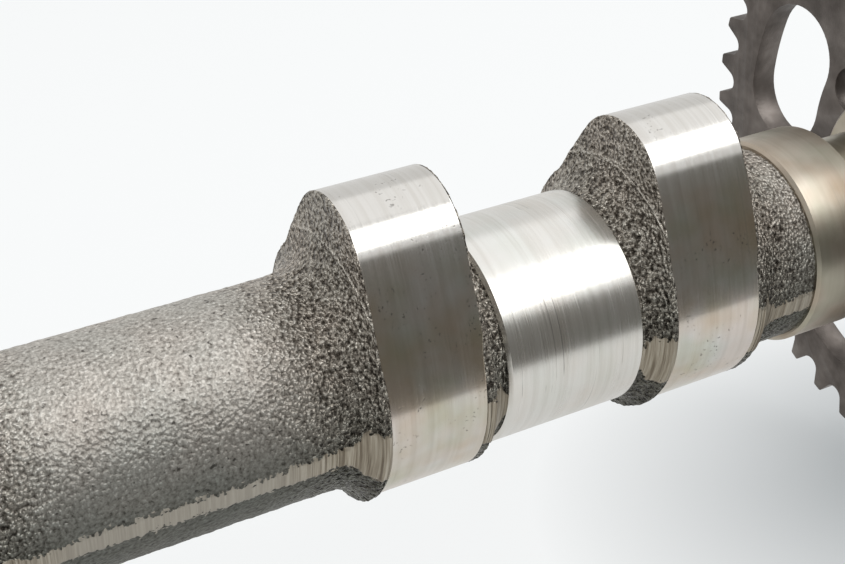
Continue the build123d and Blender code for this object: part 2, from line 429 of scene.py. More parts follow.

# %% [markdown]
# ## Putting a piece in the frame
# A piece is placed at the frame's origin without any turn or scale, because the solids
# already say where everything is. It rides on the root body and stands for one of the solids.

# %% Add a piece
def add_piece(name, mesh, materials, node):
    """Put a finished mesh in the scene as a piece that stands for one solid."""
    piece = bpy.data.objects.new(name, mesh)
    bpy.context.scene.collection.objects.link(piece)
    for material in materials:
        mesh.materials.append(material)
    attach(piece, "root")
    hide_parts(node)
    print(name, "faces:", len(mesh.polygons))


def add_iron(name, mesh, *materials):
    """A piece that stands for the casting."""
    add_piece(name, mesh, materials, "camshaft")

# %% [markdown]
# ## Short words for nodes
# Every finish below is a tree of nodes. Written out in full, one noise takes five lines, so
# the few kinds that come back are given short names. Every pattern reads the point's place on
# the object, in metres, so it stays where it is when the part or the view turns.

# %% Node helpers
def new_material(name):
    """A material with an empty tree but for the shader and the output."""
    material = bpy.data.materials.new(name)
    material.use_nodes = True
    tree = material.node_tree
    return material, tree, tree.nodes["Principled BSDF"]


def add_node(tree, kind, settings=None, **inputs):
    """Add a node, set its properties, and set or link its inputs by name or by _number."""
    node = tree.nodes.new(kind)
    for key, value in (settings or {}).items():
        setattr(node, key, value)
    for key, value in inputs.items():
        socket = node.inputs[int(key[1:])] if key[0] == "_" else node.inputs[key.replace("_", " ")]
        if isinstance(value, bpy.types.NodeSocket):
            tree.links.new(value, socket)
        else:
            socket.default_value = value
    return node


def result_of(tree, kind, settings=None, **inputs):
    """Add a node, and give its first output."""
    return add_node(tree, kind, settings, **inputs).outputs[0]


def object_place(tree, scale=(1, 1, 1)):
    """The point on the object, in metres, stretched by scale."""
    place = add_node(tree, "ShaderNodeTexCoord").outputs["Object"]
    return result_of(tree, "ShaderNodeMapping", Vector=place, Scale=scale)


def noise_value(tree, place, scale, detail=2.0, roughness=0.5):
    """The value of a noise with so many waves to the metre."""
    inputs = {"Vector": place, "Scale": scale, "Detail": detail, "Roughness": roughness}
    return add_node(tree, "ShaderNodeTexNoise", **inputs).outputs["Fac"]


def attribute_value(tree, name):
    """A number that the mesh keeps on its points, or 0 where it keeps none."""
    return add_node(tree, "ShaderNodeAttribute", {"attribute_name": name}).outputs["Fac"]


def ramp(tree, value, stops):
    """Colour by value, from a list of (position, colour)."""
    node = add_node(tree, "ShaderNodeValToRGB", _0=value)
    elements = node.color_ramp.elements
    while len(elements) < len(stops):
        elements.new(0.5)
    for element, (position, colour) in zip(elements, stops):
        element.position = position
        element.color = (*colour, 1)
    return node.outputs["Color"]


def spread(tree, value, low, high, to_low=0.0, to_high=1.0):
    """Map a value from one range to another, clamped."""
    return result_of(tree, "ShaderNodeMapRange", _0=value, _1=low, _2=high, _3=to_low, _4=to_high)


def math_of(tree, operation, a, b=0.0):
    """One arithmetic node."""
    return result_of(tree, "ShaderNodeMath", {"operation": operation}, _0=a, _1=b)


def arithmetic(tree):
    """The three commonest arithmetic nodes, as short functions of a and b."""
    return [partial(math_of, tree, operation) for operation in ("ADD", "SUBTRACT", "MULTIPLY")]


def mix_value(tree, factor, a, b):
    """Mix two values."""
    return result_of(tree, "ShaderNodeMix", _0=factor, _2=a, _3=b)


def mix_colour(tree, factor, a, b, blend="MIX"):
    """Mix two colours."""
    settings = {"data_type": "RGBA", "blend_type": blend}
    return add_node(tree, "ShaderNodeMix", settings, _0=factor, _6=a, _7=b).outputs[2]


def darkened(tree, factor, colour, by):
    """A colour multiplied by another as far as the factor says."""
    return mix_colour(tree, factor, colour, mix_colour(tree, 1.0, colour, by, "MULTIPLY"))


def tone(red, green, blue):
    """An opaque colour."""
    return (red, green, blue, 1)


def dress_metal(tree, shader, colour, metallic, roughness, height, strength, distance):
    """Link a metal's colour and roughness to its shader, and its height through a bump."""
    shader.inputs["Metallic"].default_value = metallic
    bump = add_node(tree, "ShaderNodeBump", Strength=strength, Distance=distance, Height=height)
    links = {"Base Color": colour, "Roughness": roughness, "Normal": bump.outputs["Normal"]}
    for name, socket in links.items():
        tree.links.new(socket, shader.inputs[name])

# %% [markdown]
# ## The cast skin
# Cast iron isn't painted, so it shines from every grain that happens to face the light. The relief
# that drives the bump also drives the colour, with a finer grit added, so that dark always means
# deep: the pits between the grains are painted nearly black as shade, and the raised grains are
# painted light. Beside the lobes and over the lower half the colour is painted darker still, as
# shade. The trimmed strip is smoother and browner, with the marks of the cutter running across it
# on the roots, and its edge is broken up by noise, because the cutter only skims the tops of the
# lumps there.

# %% Make the cast skin
BUMP_HEIGHT = 0.001
LINE_WANDER = 0.0005
PIT_BLACK = tone(0.050, 0.042, 0.036)
PAINTED_LOBE_SHADE = tone(0.68, 0.635, 0.58)
PAINTED_LOW_HALF_SHADE = tone(0.27, 0.29, 0.278)
TRIMMED_BAR = tone(0.345, 0.325, 0.285)
# Colour by depth: the low stops are painted shade in the hollows, the high ones painted light on the grains
SKIN_COLOURS_SHADED_BY_DEPTH = [
    (0.30, (0.100, 0.085, 0.073)),
    (0.44, (0.370, 0.344, 0.318)),
    (0.56, (0.545, 0.515, 0.483)),
    (0.72, (0.850, 0.830, 0.800)),
]
TRIMMED_ROOT_COLOURS = [
    (0.34, (0.150, 0.122, 0.088)),
    (0.50, (0.290, 0.255, 0.198)),
    (0.68, (0.460, 0.422, 0.350)),
]


def make_cast_skin():
    """Sand-cast iron: shallow grain on the bar, coarse beside the lobes, and a trimmed strip."""
    material, tree, shader = new_material("cast_skin")
    plus, minus, times = arithmetic(tree)
    place = object_place(tree)
    near = attribute_value(tree, "near_lobe")
    from_bar_to_lobe = partial(mix_value, tree, near)
    lumps = from_bar_to_lobe(noise_value(tree, place, 2200, 1, 0.4), noise_value(tree, place, 1850, 1, 0.4))
    cells = add_node(tree, "ShaderNodeTexVoronoi", Vector=place, Scale=2200.0).outputs["Distance"]
    fine = noise_value(tree, place, 5200, 2, 0.6)
    holes, broad, patch = (noise_value(tree, place, scale) for scale in (1300, 120, 520))

    # Height above the mean, for the bump and, with grit, for the colour: painted shade where deep
    mean_relief = minus(minus(times(lumps, 0.75), times(cells, 0.42)), 0.16)
    relief = times(mean_relief, from_bar_to_lobe(0.30, 1.10))
    grit = times(minus(fine, 0.5), from_bar_to_lobe(0.38, 0.55))
    depth = plus(times(mean_relief, from_bar_to_lobe(0.42, 1.10)), grit)
    # A thin raised line where the root ends in the mould, broken here and there
    across = object_place(tree, (0, 1, 1))
    radius = add_node(tree, "ShaderNodeVectorMath", {"operation": "LENGTH"}, Vector=across).outputs["Value"]
    off_line = minus(radius, (root_top + BEAD_OUTSIDE) * MM)
    off_line = plus(off_line, times(minus(patch, 0.5), LINE_WANDER))
    line = spread(tree, math_of(tree, "ABSOLUTE", off_line), 0.00008, 0.00028, 1.0, 0.0)
    line = times(line, spread(tree, holes, 0.34, 0.46))
    relief = plus(relief, times(line, 0.30))
    # The raised line is also painted lighter, as light on its ridge
    depth = plus(depth, times(line, 0.32))

    # Painted shade in the hollows and painted light on the raised grains
    skin = ramp(tree, plus(depth, 0.5), SKIN_COLOURS_SHADED_BY_DEPTH)
    skin = mix_colour(tree, spread(tree, holes, 0.66, 0.73, 0.0, 0.85), skin, PIT_BLACK)
    # Painted shade: darker beside the lobes, in the hollow roots and on the bar close to them
    skin = darkened(tree, times(near, 0.75), skin, PAINTED_LOBE_SHADE)
    tint = ramp(tree, broad, [(0.36, (0.94, 0.965, 0.945)), (0.64, (0.99, 0.975, 0.945))])
    skin = mix_colour(tree, 0.85, skin, tint, "MULTIPLY")
    # Painted shade: the lower half is darker and greener
    skin = darkened(tree, attribute_value(tree, "painted_low_half_shade"), skin, PAINTED_LOW_HALF_SHADE)
    skin_roughness = from_bar_to_lobe(spread(tree, fine, 0.3, 0.7, 0.44, 0.62),
                                      spread(tree, fine, 0.3, 0.7, 0.18, 0.40))

    # The trimmed strip, with a broken edge
    broken = plus(times(patch, 1.8), times(lumps, 1.9))
    ragged = plus(attribute_value(tree, "strip"), minus(broken, 1.85))
    on_strip = spread(tree, ragged, -0.06, 0.08)
    marks = noise_value(tree, object_place(tree, (4000, 110, 110)), 1.0, 3, 0.6)
    on_root = spread(tree, near, 0.0, 0.9, 0.25, 1.0)
    trimmed = mix_colour(tree, on_root, TRIMMED_BAR, ramp(tree, marks, TRIMMED_ROOT_COLOURS))
    scored = plus(times(marks, from_bar_to_lobe(0.04, 0.15)), 0.1)
    height = plus(times(relief, minus(1.0, on_strip)), times(scored, on_strip))
    dress_metal(tree, shader, mix_colour(tree, on_strip, skin, trimmed), metallic=0.8,
                roughness=mix_value(tree, on_strip, skin_roughness, 0.40),
                height=height, strength=1.0, distance=BUMP_HEIGHT)
    return material

# %% [markdown]
# ## Ground iron
# A grinding wheel leaves fine scratches that run round the shaft. They come from a noise that
# changes fast along the shaft and slowly round it, and drives both the bump and the roughness.
# A wider one gives a slight banding, and a third leaves a few darker scores. Some small holes
# of the casting stay open in the ground face, and thin brown stain lies on what has been
# handled. The three ground finishes share this one recipe.

# %% Make ground iron
OPEN_HOLE = tone(0.13, 0.12, 0.11)
DARK_SCORE = tone(0.26, 0.25, 0.235)


def make_ground_iron(name, clean, stain, stain_amount, roughness, open_holes, scoring):
    """Ground iron: holes stay open where a noise passes open_holes, scoring is how dark scores are."""
    material, tree, shader = new_material(name)
    _, minus, times = arithmetic(tree)
    marks = noise_value(tree, object_place(tree, (8500, 60, 60)), 1.0, 2, 0.6)
    bands = noise_value(tree, object_place(tree, (1500, 45, 45)), 1.0)
    lines = noise_value(tree, object_place(tree, (5200, 26, 26)), 1.0, 1)
    place = object_place(tree)
    cloud = noise_value(tree, place, 95, 3, 0.6)
    hue = noise_value(tree, place, 150)
    where = noise_value(tree, place, 210, 1)
    holes = noise_value(tree, place, 2300, 1)
    off_nose = minus(1.0, attribute_value(tree, "nose"))

    stained = times(spread(tree, cloud, 0.36, 0.62, 0, stain_amount), off_nose)
    base = mix_colour(tree, stained, clean, stain)
    tint = ramp(tree, hue, [(0.36, (0.93, 0.98, 0.95)), (0.50, (1, 1, 1)), (0.64, (1.0, 0.94, 0.91))])
    base = darkened(tree, times(off_nose, stain_amount), base, tint)
    banding = mix_colour(tree, spread(tree, bands, 0.38, 0.70), tone(1, 1, 1), tone(0.91, 0.90, 0.885))
    base = mix_colour(tree, 1.0, base, banding, "MULTIPLY")
    scored = times(spread(tree, lines, 0.645, 0.70), spread(tree, cloud, 0.50, 0.56))
    base = mix_colour(tree, times(scored, scoring), base, DARK_SCORE)
    pitted = times(spread(tree, holes, 0.66, 0.72), spread(tree, where, open_holes, open_holes + 0.05))
    base = mix_colour(tree, times(pitted, 0.6), base, OPEN_HOLE)
    dress_metal(tree, shader, base, metallic=1.0,
                roughness=spread(tree, marks, 0.3, 0.7, roughness - 0.03, roughness + 0.05),
                height=minus(marks, times(pitted, 2.0)), strength=0.16, distance=0.00002)
    return material

# %% [markdown]
# ## Wheel and fasteners
# The wheel is pressed from steel plate and left dark from its heat treatment, so it is
# nearly even, with only a cloud of lighter wear. The fasteners are turned, and keep the
# cutter's rings.

# %% Make the steels
def make_wheel_steel():
    """Dark steel with a cloud of wear."""
    material, tree, shader = new_material("wheel_steel")
    place = object_place(tree)
    cloud = noise_value(tree, place, 150, 3, 0.6)
    grain = noise_value(tree, place, 2600, 2, 0.6)
    base = ramp(tree, cloud, [
        (0.35, (0.085, 0.072, 0.064)),
        (0.55, (0.140, 0.121, 0.109)),
        (0.75, (0.210, 0.187, 0.170)),
    ])
    dress_metal(tree, shader, base, metallic=0.7, roughness=spread(tree, cloud, 0.3, 0.7, 0.52, 0.38),
                height=grain, strength=0.4, distance=0.0001)
    return material


def make_fastener_steel():
    """Turned steel with the cutter's rings."""
    material, tree, shader = new_material("fastener_steel")
    marks = noise_value(tree, object_place(tree, (4200, 300, 300)), 1.0, 2, 0.6)
    base = ramp(tree, marks, [(0.35, (0.20, 0.19, 0.18)), (0.65, (0.44, 0.42, 0.40))])
    dress_metal(tree, shader, base, metallic=1.0, roughness=spread(tree, marks, 0.3, 0.7, 0.28, 0.42),
                height=marks, strength=0.3, distance=0.00004)
    return material

# %% All the materials
cast_skin = make_cast_skin()
ground_lobe = make_ground_iron(
    "ground_lobe", clean=tone(0.66, 0.645, 0.62), stain=tone(0.56, 0.50, 0.40), stain_amount=1.0,
    roughness=0.17, open_holes=0.53, scoring=0.15)
ground_journal = make_ground_iron(
    "ground_journal", clean=tone(0.74, 0.735, 0.71), stain=tone(0.64, 0.61, 0.54), stain_amount=0.3,
    roughness=0.23, open_holes=0.90, scoring=0.7)
stained_journal = make_ground_iron(
    "stained_journal", clean=tone(0.50, 0.455, 0.385), stain=tone(0.36, 0.31, 0.24), stain_amount=0.9,
    roughness=0.33, open_holes=0.90, scoring=0.3)
wheel_steel = make_wheel_steel()
fastener_steel = make_fastener_steel()
print("materials:", [material.name for material in bpy.data.materials])

# %% [markdown]
# ## The spans of casting
# Each span runs from just inside one ground band to just inside the next, with the lobes
# that stand on it, so no seam is seen: the bands stand a little higher and cover the ends.

# %% Build the spans
INSET = 1.4
END_BEVEL = 0.3
ROOT_MARGIN = 0.5
lobe_place = half + lobe_neck + lobe_width / 2


def build_span(name, start_x, lobes, end_x):
    """One stretch of casting from start_x to end_x, with the lobes that stand on it."""
    skin = Skin()
    first_root = lobes[0][0] - lobe_reach
    start_x = min(start_x, first_root - ROOT_MARGIN)
    skin.row(start_x, shaft_radius - END_BEVEL, 0.0)
    skin.row(start_x + END_BEVEL, shaft_radius, 0.0)
    for centre_x, nose in lobes:
        if centre_x - lobe_reach > skin.x[-1].mean() + 2 * GRAIN_STEP:
            skin.bar(centre_x - lobe_reach - GRAIN_STEP)
        add_lobe(skin, centre_x, nose)
    if end_x > skin.x[-1].mean() + 2 * GRAIN_STEP:
        skin.bar(end_x - END_BEVEL)
    skin.row(skin.x[-1].mean() + END_BEVEL, shaft_radius - END_BEVEL, 0.0)
    add_iron(name, skin_mesh(name, skin, lobes), cast_skin, ground_lobe)


nose_angles = [first_nose_angle + i * firing_angle for i in range(len(journal_places))]
rear_lobes = [(x - lobe_place, angle) for x, angle in zip(journal_places, nose_angles)]
front_lobes = [(x + lobe_place, angle) for x, angle in zip(journal_places, nose_angles)]
spigot = mounts["rear_spigot"]
stub_end = spigot["pos_m"][0] / MM + spigot["dims"]["length_mm"] / 2
build_span("casting_front", journal_places[0] + half - INSET, [front_lobes[0]], front_edge + INSET)
for index in range(len(journal_places) - 1):
    build_span(f"casting_{index + 1}", journal_places[index + 1] + half - INSET,
               [front_lobes[index + 1], rear_lobes[index]], journal_places[index] - half + INSET)
build_span("casting_rear", stub_end, [rear_lobes[-1]], journal_places[-1] - half + INSET)

# %% [markdown]
# ## Turned bands
# Journals, seat, pilot and spigot are plain turned shapes, so each is a profile of places
# and radii swept once round. The corners are bevelled: no real edge is perfectly sharp, and
# the thin line of light along a bevel is what shows an edge at all.

# %% Turn a profile
BAND_COLUMNS = 192


def turned_mesh(name, profile, ring=False):
    """Turn a profile about the shaft: closed at the axis, or a ring that closes on itself."""
    turn = np.linspace(0, 2 * np.pi, BAND_COLUMNS, endpoint=False)
    rings = profile if ring else [(x, r) for x, r in profile if r > 0]
    points = [(x * MM, r * MM * math.cos(a), r * MM * math.sin(a)) for x, r in rings for a in turn]
    if ring:
        count = len(points)
        faces = grid_faces(len(rings) + 1, BAND_COLUMNS, 0, 0)[:-2 * BAND_COLUMNS]
        faces = [tuple(corner % count for corner in face) for face in faces]
    else:
        points += [(profile[0][0] * MM, 0, 0), (profile[-1][0] * MM, 0, 0)]
        faces = grid_faces(len(rings), BAND_COLUMNS, len(points) - 2, len(points) - 1)
    mesh = bpy.data.meshes.new(name)
    mesh.from_pydata(points, [], faces)
    shade_smooth(mesh, 30)
    return mesh


def bevelled(start_x, end_x, radius):
    """Profile of a turned band with its two corners bevelled."""
    return [(start_x, radius - turned_bevel), (start_x + turned_bevel, radius),
            (end_x - turned_bevel, radius), (end_x, radius - turned_bevel)]


def add_journal(name, x, half_width, material):
    """A ground band, closed down to the axis."""
    start_x, end_x = x - half_width, x + half_width
    profile = [(start_x, 0), *bevelled(start_x, end_x, journal_radius), (end_x, 0)]
    add_iron(f"ground_{name}", turned_mesh(name, profile), material)

# %% Journals
for name, x in zip(journal_names, journal_places):
    add_journal(name, x, half, ground_journal)
add_journal("front_journal", 0, front_journal_width / 2, stained_journal)

# %% Front neck, seat and pilot, with the bolt hole, and the rear spigot
wheel_low, wheel_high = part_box("chain_wheel")
wheel_x, hub_end = wheel_low[0] / MM, wheel_high[0] / MM
seat_x = wheel_x - seat_width
pilot_end = hub_end - pilot_recess
bolt_hole_end = pilot_end - bolt_hole_depth
front_profile = [
    (0, 0), (0, front_neck_radius), (seat_x, front_neck_radius),
    *bevelled(seat_x, wheel_x, seat_radius), (wheel_x, pilot_radius),
    (pilot_end - turned_bevel, pilot_radius), (pilot_end, pilot_radius - turned_bevel),
    (pilot_end, bolt_hole_radius + bolt_hole_chamfer), (pilot_end - bolt_hole_chamfer, bolt_hole_radius),
    (bolt_hole_end, bolt_hole_radius), (bolt_hole_end, 0),
]
add_iron("front_neck", turned_mesh("front_neck", front_profile), stained_journal)
rear_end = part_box("camshaft")[0][0] / MM
centre_hole_end = rear_end + centre_hole_depth
spigot_end = stub_end + rear_spigot_overlap
rear_profile = [
    (centre_hole_end, 0), (centre_hole_end, centre_hole_radius),
    (rear_end + centre_sink_depth, centre_hole_radius),
    (rear_end, centre_sink_radius), (rear_end, rear_spigot_radius - rear_spigot_chamfer),
    (rear_end + rear_spigot_chamfer, rear_spigot_radius),
    (spigot_end, rear_spigot_radius), (spigot_end, 0),
]
add_iron("rear_spigot", turned_mesh("rear_spigot", rear_profile), ground_journal)
print("wheel seat at", round(seat_x, 2), "mm, rear end at", round(rear_end, 2), "mm")

# %% [markdown]
# ## The chain wheel, grown from a few numbers
# A wheel's teeth and windows are one form repeated, and that is what Geometry Nodes are for.
# An Array modifier could copy a modelled tooth, but the seams would have to be welded, and a
# change of the tooth count would mean a new tooth. Here every point of one long outline works
# out which gap between two teeth it belongs to and how far across that gap it lies, and from
# this its place: a round seat for the chain's roller, a straight side, and the tip circle.
# The windows are kidney outlines, drawn once and turned to their places. All outlines are
# then filled together, so that whatever lies inside becomes a hole, and raised to the wheel's
# thickness.

# %% Inputs of the wheel, in metres and radians
pitch_radius = mounts["chain_rim"]["dims"]["r_mm"]
timing_hole = mounts["timing_hole"]
teeth = 44
first_tooth_angle = 12.8
thickness = 4.2
hub_radius = 15.0
bore_radius = pilot_radius + 0.05
dowel_reach = 11.9 * MM
dowel_angle = math.radians(200)
wheel_inputs = {
    "Teeth": teeth,
    "Points A Tooth": 32,
    "Pitch Radius": pitch_radius * MM,
    "Tooth Height": 1.7 * MM,
    "Roller Radius": 1.65 * MM,
    "Side Lean": math.radians(24),
    "First Gap": math.radians(first_tooth_angle + 180 / teeth),
    "Windows": 5,
    "Window Radius": 30.8 * MM,
    "Window Width": 14.8 * MM,
    "Window Sweep": math.radians(13.9),
    "First Window": math.radians(20.4),
    "Timing Hole Radius": timing_hole["dims"]["r_mm"] * MM,
    "Timing Hole Place": (*timing_hole["pos_m"][1:], 0),
    "Dowel Hole Radius": 2.03 * MM,
    "Dowel Hole Place": (dowel_reach * math.cos(dowel_angle), dowel_reach * math.sin(dowel_angle), 0),
    "Bore Radius": bore_radius * MM,
    "Thickness": thickness * MM,
    "Place": wheel_x * MM,
    "Material": wheel_steel,
}


def socket_kind(value):
    """The kind of input that holds a value."""
    if isinstance(value, bpy.types.Material):
        return "NodeSocketMaterial"
    return {int: "NodeSocketInt", tuple: "NodeSocketVector"}.get(type(value), "NodeSocketFloat")


print("inputs:", {label: socket_kind(value) for label, value in wheel_inputs.items()})

# %% [markdown]
# ### One point of the toothed outline
# Across one gap the seat is a circle, and past the place where the side leaves it in line,
# the outline climbs straight until it meets the tip circle. Taking the smaller of side and
# tip makes that meeting by itself. The point is then turned to its own gap.

# %% Outline of the teeth
def turned_about_axis(tree, x, y, angle):
    """The point (x, y) turned about the wheel's axis."""
    point = result_of(tree, "ShaderNodeCombineXYZ", X=x, Y=y)
    about_z = {"rotation_type": "Z_AXIS"}
    return result_of(tree, "ShaderNodeVectorRotate", about_z, Vector=point, Angle=angle)


def placed_circle(tree, points, place):
    """A closed curve whose points are moved to a computed place."""
    circle = result_of(tree, "GeometryNodeCurvePrimitiveCircle", Resolution=points, Radius=1.0)
    return result_of(tree, "GeometryNodeSetPosition", Geometry=circle, Position=place)


def tooth_outline(tree, given, index):
    """The whole toothed rim as one closed curve."""
    op = partial(math_of, tree)
    plus, minus, times = arithmetic(tree)
    pitch, roller, lean = given["Pitch Radius"], given["Roller Radius"], given["Side Lean"]
    turns = op("DIVIDE", index, given["Points A Tooth"])
    across = minus(times(op("FRACT", turns), 2.0), 1.0)
    tip = plus(pitch, given["Tooth Height"])
    half_gap = times(tip, op("SINE", op("DIVIDE", math.pi, given["Teeth"])))
    u = times(across, half_gap)
    seat_half = times(roller, op("COSINE", lean))
    seat = op("SQRT", op("MAXIMUM", minus(times(roller, roller), times(u, u)), 0.0))
    foot = minus(pitch, times(roller, op("SINE", lean)))
    climb = op("DIVIDE", minus(op("ABSOLUTE", u), seat_half), op("TANGENT", lean))
    on_side = op("GREATER_THAN", op("ABSOLUTE", u), seat_half)
    inner = mix_value(tree, on_side, minus(pitch, seat), plus(foot, climb))
    cap = op("SQRT", minus(times(tip, tip), times(u, u)))
    gap_turn = times(op("FLOOR", turns), op("DIVIDE", 2 * math.pi, given["Teeth"]))
    angle = plus(given["First Gap"], gap_turn)
    place = turned_about_axis(tree, op("MINIMUM", inner, cap), u, angle)
    return placed_circle(tree, times(given["Teeth"], given["Points A Tooth"]), place)

# %% [markdown]
# ### One window and its copies
# A kidney is a circle that is pulled apart along an arc. Walking round it, two fifths of the
# way are spent on the two arcs and the rest on the two round ends, and a mirrored half makes
# the other half, so the same few nodes serve both.

# %% Outlines of the windows and the holes
WINDOW_POINTS = 80


def window_outlines(tree, given, index):
    """All windows as closed curves, turned to their places."""
    op = partial(math_of, tree)
    plus, minus, times = arithmetic(tree)
    along = op("DIVIDE", index, WINDOW_POINTS)
    mirror = minus(1.0, times(op("GREATER_THAN", along, 0.5), 2.0))
    fold = op("MINIMUM", along, minus(1.0, along))
    turn = times(mirror, spread(tree, fold, 0.1, 0.4, 0.0, math.pi))
    pulled = spread(tree, op("MINIMUM", fold, minus(0.5, fold)), 0.0, 0.1, 0.0, 0.5)
    slide = times(times(mirror, pulled), given["Window Sweep"])
    end_radius = times(given["Window Width"], 0.5)
    x = plus(given["Window Radius"], times(end_radius, op("COSINE", turn)))
    y = times(end_radius, op("SINE", turn))
    window = placed_circle(tree, WINDOW_POINTS, turned_about_axis(tree, x, y, slide))
    spots = result_of(tree, "GeometryNodePoints", Count=given["Windows"])
    step = op("DIVIDE", 2 * math.pi, given["Windows"])
    angle = plus(given["First Window"], times(index, step))
    copies = result_of(tree, "GeometryNodeInstanceOnPoints", Points=spots, Instance=window,
                       Rotation=result_of(tree, "ShaderNodeCombineXYZ", Z=angle))
    return result_of(tree, "GeometryNodeRealizeInstances", Geometry=copies)


def round_hole(tree, radius, place=(0, 0, 0), points=64):
    """A circle at a place in the wheel's plane."""
    circle = result_of(tree, "GeometryNodeCurvePrimitiveCircle", Resolution=points, Radius=radius)
    return result_of(tree, "GeometryNodeTransform", Geometry=circle, Translation=place)


def joined(tree, parts):
    """Join several geometries."""
    node = tree.nodes.new("GeometryNodeJoinGeometry")
    for part in parts:
        tree.links.new(part, node.inputs[0])
    return node.outputs[0]

# %% [markdown]
# ### Filling, raising and turning
# The filled face is raised along the axis, which leaves the back open, so a flipped copy of
# the face is put under it and the doubled points are merged: only then is the mesh closed.
# Everything is drawn flat, with the axis up, and turned once at the end to lie along the
# shaft. Realize Instances comes just before the material, so nothing is left as a copy that
# another program couldn't read.

# %% The wheel's tree
def make_wheel_tree():
    """Build the tree, and say which identifier each named input got."""
    tree = bpy.data.node_groups.new("chain_wheel_maker", "GeometryNodeTree")
    tree.is_modifier = True
    identifiers = {}
    for label, value in wheel_inputs.items():
        socket = tree.interface.new_socket(label, in_out="INPUT", socket_type=socket_kind(value))
        identifiers[label] = socket.identifier
    tree.interface.new_socket("Geometry", in_out="OUTPUT", socket_type="NodeSocketGeometry")
    given = tree.nodes.new("NodeGroupInput").outputs
    index = tree.nodes.new("GeometryNodeInputIndex").outputs[0]
    outlines = joined(tree, [
        tooth_outline(tree, given, index),
        window_outlines(tree, given, index),
        round_hole(tree, given["Timing Hole Radius"], given["Timing Hole Place"]),
        round_hole(tree, given["Dowel Hole Radius"], given["Dowel Hole Place"], 32),
        round_hole(tree, given["Bore Radius"], points=96),
    ])
    plate = result_of(tree, "GeometryNodeFillCurve", {"mode": "NGONS"}, Curve=outlines)
    rise = result_of(tree, "ShaderNodeCombineXYZ", Z=given["Thickness"])
    raised = result_of(tree, "GeometryNodeExtrudeMesh", Mesh=plate, Offset=rise, Offset_Scale=1.0,
                       Individual=False)
    back = result_of(tree, "GeometryNodeFlipFaces", Mesh=plate)
    shell = joined(tree, [raised, back])
    closed = result_of(tree, "GeometryNodeMergeByDistance", Geometry=shell, Distance=1e-6)
    place = result_of(tree, "ShaderNodeCombineXYZ", X=given["Place"])
    turned = result_of(tree, "GeometryNodeTransform", Geometry=closed, Translation=place,
                       Rotation=(math.pi / 2, 0, math.pi / 2))
    real = result_of(tree, "GeometryNodeRealizeInstances", Geometry=turned)
    dressed = result_of(tree, "GeometryNodeSetMaterial", Geometry=real, Material=given["Material"])
    tree.links.new(dressed, tree.nodes.new("NodeGroupOutput").inputs[0])
    return tree, identifiers


wheel_tree, identifiers = make_wheel_tree()
print("nodes in the wheel's tree:", len(wheel_tree.nodes))

# %% [markdown]
# ### From the tree to a plain mesh
# The tree hangs on an empty object as a modifier. Its inputs are set by their identifiers
# before it is first worked out. A Bevel modifier after it breaks every edge by a tenth of a
# millimetre, which is what a tumbled pressing looks like. The result is copied into a mesh of
# its own, so that the piece needs no modifier any more.

# %% Grow the wheel
holder = bpy.data.objects.new("wheel_maker", bpy.data.meshes.new("wheel_maker"))
bpy.context.scene.collection.objects.link(holder)
grower = holder.modifiers.new("wheel", "NODES")
grower.node_group = wheel_tree
for label, value in wheel_inputs.items():
    grower[identifiers[label]] = value
edge_break = holder.modifiers.new("edges", "BEVEL")
edge_break.width = 0.12 * MM
edge_break.segments = 2
edge_break.limit_method = "ANGLE"
edge_break.angle_limit = math.radians(50)
bpy.context.view_layer.update()
grown = bpy.data.meshes.new_from_object(holder.evaluated_get(bpy.context.evaluated_depsgraph_get()))
holder.modifiers.clear()
bpy.data.objects.remove(holder)
grown.materials.clear()
shade_smooth(grown, 40)
add_piece("wheel_plate", grown, [wheel_steel], "chain_wheel")

# %% The wheel's hub
HUB_CHAMFER = 0.6
HUB_OVERLAP = 0.2
hub_start = wheel_x + thickness - HUB_OVERLAP
hub_profile = [
    (hub_start, bore_radius), (hub_start, hub_radius), (hub_end - HUB_CHAMFER, hub_radius),
    (hub_end, hub_radius - HUB_CHAMFER), (hub_end, bore_radius),
]
hub = turned_mesh("wheel_hub", hub_profile, ring=True)
add_piece("wheel_hub", hub, [wheel_steel], "chain_wheel")

# %% [markdown]
# ## Pieces kept from the frame
# The dowel pin, the washer and the bolt are simple enough to be shown as they are. Only their
# material is changed.

# %% Fasteners
for name in ("dowel_pin", "washer", "wheel_bolt"):
    node = frame["nodes"][name]
    node.data.materials.clear()
    node.data.materials.append(fastener_steel)
print("kept from the frame: dowel pin, washer and bolt")

# %% [markdown]
# ## The table
# The part lies on a pale table that takes its shadow. To the eye the table is nearly white,
# and in the metal it shows as the bright lower half of every reflection. A white card lit
# evenly would need many lamps, so some glow is mixed into the paper for the rays that come
# from the camera or from a polished face, and not for the light it throws on the part. Under
# the front of the shaft, where the wheel keeps the light off the table, the glow seen by the
# camera darkens into a painted shadow.

# %% Floor
floor_z = cad_box[0][2]
# The table lies half turned, so its own x and y run backwards
# Centre of the painted shadow on the table
PAINTED_SHADOW_CENTRE = (-0.034, 0.006, 0)


def add_plane(name, centre, width, depth, facing=(0, 0, 1)):
    """A flat stage piece that faces along a direction."""
    mesh = bpy.data.meshes.new(name)
    w, d = width / 2, depth / 2
    mesh.from_pydata([(-w, -d, 0), (w, -d, 0), (w, d, 0), (-w, d, 0)], [], [(0, 1, 2, 3)])
    plane = bpy.data.objects.new(name, mesh)
    plane.location = centre
    plane.rotation_euler = Vector(facing).to_track_quat("Z", "Y").to_euler()
    bpy.context.scene.collection.objects.link(plane)
    return plane


